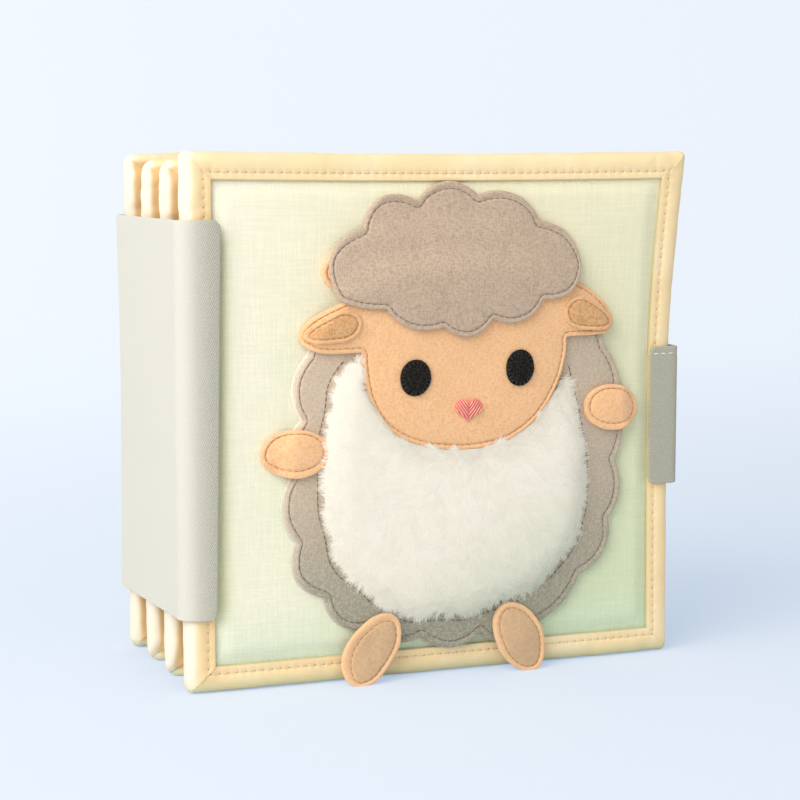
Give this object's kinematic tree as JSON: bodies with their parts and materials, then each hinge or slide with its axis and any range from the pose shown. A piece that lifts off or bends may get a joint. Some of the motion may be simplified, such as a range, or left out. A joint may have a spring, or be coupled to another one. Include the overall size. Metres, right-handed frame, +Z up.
{
  "type": "quiet book",
  "caption": "Soft cloth quiet book: quilted bound leaves on a wrapped spine band, a fore-edge closure strap, and a felt lamb sewn on the front cover.",
  "frame": {"origin": "on the surface the book stands on, under the middle of the closed book", "axes": "+X from the spine to the fore edge, +Y from the front cover to the back cover, +Z up along the spine"},
  "size_m": [0.2072, 0.1046, 0.2],
  "materials": {
    "binding_cotton": "smooth cream cotton satin binding tape",
    "linen": "pale green slubby linen weave",
    "wadding": "white polyester wadding",
    "band_twill": "light grey cotton twill",
    "strap_twill": "grey-green cotton twill",
    "fastener": "white hook and loop tape",
    "taupe_felt": "taupe wool felt",
    "peach_felt": "peach wool felt",
    "inner_ear_felt": "darker peach wool felt",
    "black_felt": "black wool felt",
    "nose_thread": "pink satin-stitched thread",
    "white_fur": "white long-pile faux fur"
  },
  "bodies": {
    "back_cover": {"back_cover_wadding": "wadding", "back_cover_outer_panel": "linen", "back_cover_inner_panel": "linen", "back_cover_binding": "binding_cotton", "spine_band_back_wing": "band_twill", "loop_pad": "fastener"},
    "page_3": {"page_3_wadding": "wadding", "page_3_outer_panel": "linen", "page_3_inner_panel": "linen", "page_3_binding": "binding_cotton", "seam_tape_3": "binding_cotton", "spine_band_page_3": "band_twill"},
    "page_2": {"page_2_wadding": "wadding", "page_2_outer_panel": "linen", "page_2_inner_panel": "linen", "page_2_binding": "binding_cotton", "seam_tape_2": "binding_cotton", "spine_band_page_2": "band_twill"},
    "front_cover": {"front_cover_wadding": "wadding", "front_cover_outer_panel": "linen", "front_cover_inner_panel": "linen", "front_cover_binding": "binding_cotton", "spine_band_front_wing": "band_twill", "strap_sewn_end": "strap_twill", "lamb_body": "taupe_felt", "lamb_head": "peach_felt", "lamb_hair": "taupe_felt", "lamb_belly_fur": "white_fur", "lamb_ear_left": "peach_felt", "lamb_ear_right": "peach_felt", "lamb_inner_ear_left": "inner_ear_felt", "lamb_inner_ear_right": "inner_ear_felt", "lamb_eye_left": "black_felt", "lamb_eye_right": "black_felt", "lamb_nose": "nose_thread", "lamb_paw_left": "peach_felt", "lamb_paw_right": "peach_felt", "lamb_foot_left": "peach_felt", "lamb_foot_right": "peach_felt"},
    "strap": {"closure_strap": "strap_twill", "hook_pad": "fastener"}
  },
  "joints": [
    {"name": "page_3_turn", "type": "hinge", "parent": "back_cover", "child": "page_3", "pos_m": [-0.10355, 0.01705, 0.1], "axis": [0, 0, -1], "range_deg": [0, 70]},
    {"name": "page_2_turn", "type": "hinge", "parent": "page_3", "child": "page_2", "pos_m": [-0.10355, -0.00995, 0.1], "axis": [0, 0, -1], "range_deg": [0, 70]},
    {"name": "front_cover_turn", "type": "hinge", "parent": "page_2", "child": "front_cover", "pos_m": [-0.10355, -0.03695, 0.1], "axis": [0, 0, -1], "range_deg": [0, 165]},
    {"name": "strap_peel", "type": "hinge", "parent": "front_cover", "child": "strap", "pos_m": [0.10185, -0.0434, 0.0955], "axis": [0, 0, -1], "range_deg": [0, 165]}
  ]
}
